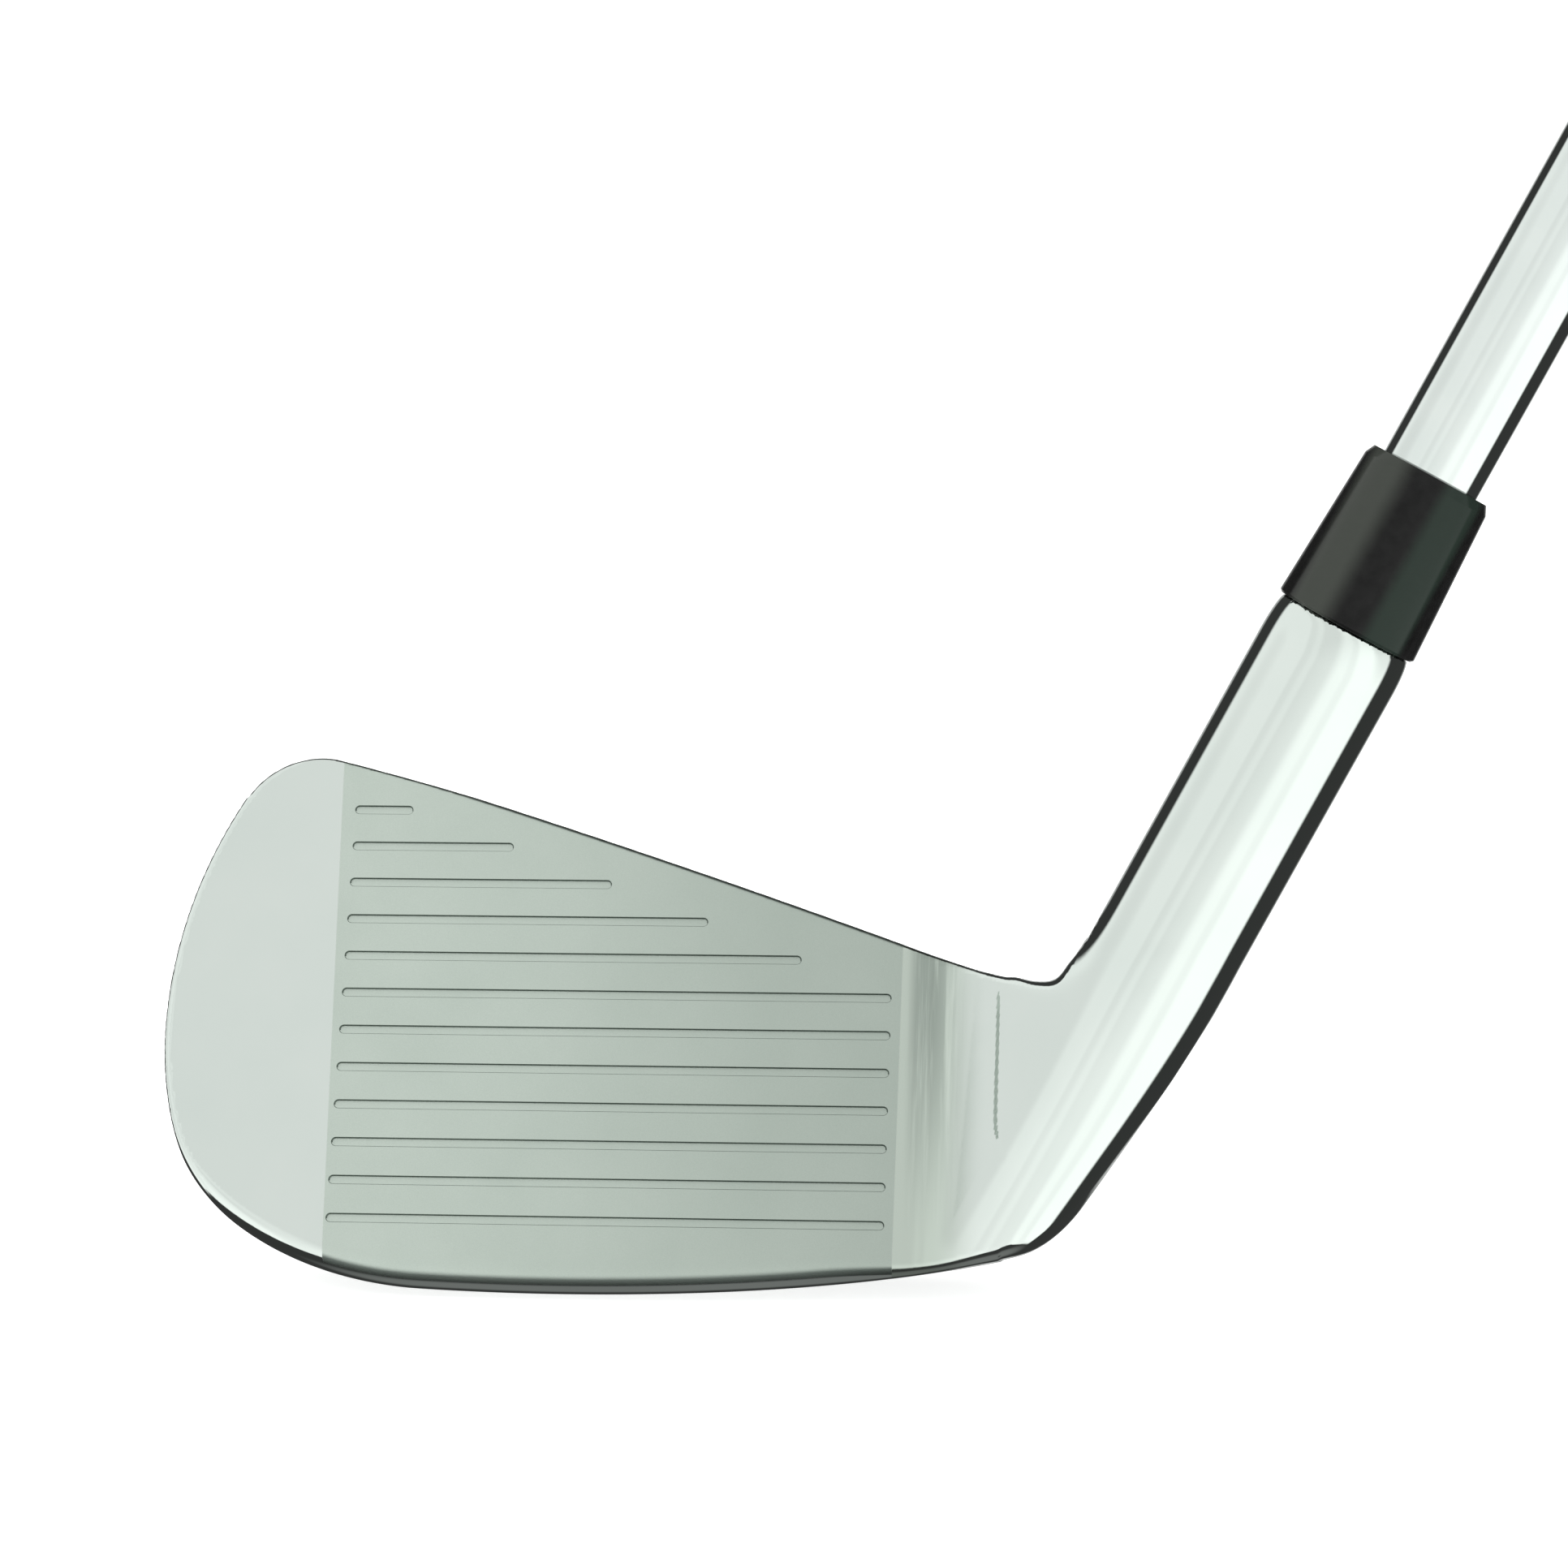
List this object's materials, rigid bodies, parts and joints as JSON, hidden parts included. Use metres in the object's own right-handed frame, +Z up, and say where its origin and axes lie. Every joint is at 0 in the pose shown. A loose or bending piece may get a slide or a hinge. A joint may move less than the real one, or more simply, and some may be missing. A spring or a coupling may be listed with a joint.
{
  "type": "golf iron",
  "caption": "Right-handed mid iron: chromed forged head with scored face, black ferrule, stepped steel shaft and moulded rubber grip.",
  "frame": {"origin": "ground point under the leading edge, midway along the score lines, with the club soled at address", "axes": "+Z up, face towards -Y, toe towards -X, shaft rising towards +X at the lie angle"},
  "size_m": [0.543, 0.0382, 0.8429],
  "materials": {
    "chrome_head": "bright chrome plate, sandblasted in the scored zone",
    "tungsten": "turned tungsten alloy",
    "elastomer": "soft matt elastomer",
    "foam_tape": "double-sided acrylic tape",
    "badge_alu": "brushed and anodised",
    "epoxy": "cured epoxy with shafting beads",
    "brass_plug": "turned",
    "ferrule_black": "polished black",
    "chrome_shaft": "bright chrome plate",
    "label_film": "printed film",
    "grip_adhesive": "double-sided paper tape",
    "grip_rubber": "moulded pattern, matt",
    "cap_rubber": "hard moulded rubber"
  },
  "bodies": {
    "root": {"head_body": "chrome_head", "toe_weight": "tungsten", "damping_insert": "elastomer", "badge_tape": "foam_tape", "cavity_badge": "badge_alu", "hosel_epoxy": "epoxy", "tip_weight": "brass_plug", "ferrule": "ferrule_black", "shaft": "chrome_shaft", "shaft_label": "label_film", "grip_tape": "grip_adhesive", "grip_sleeve": "grip_rubber", "grip_cap": "cap_rubber"}
  },
  "joints": []
}
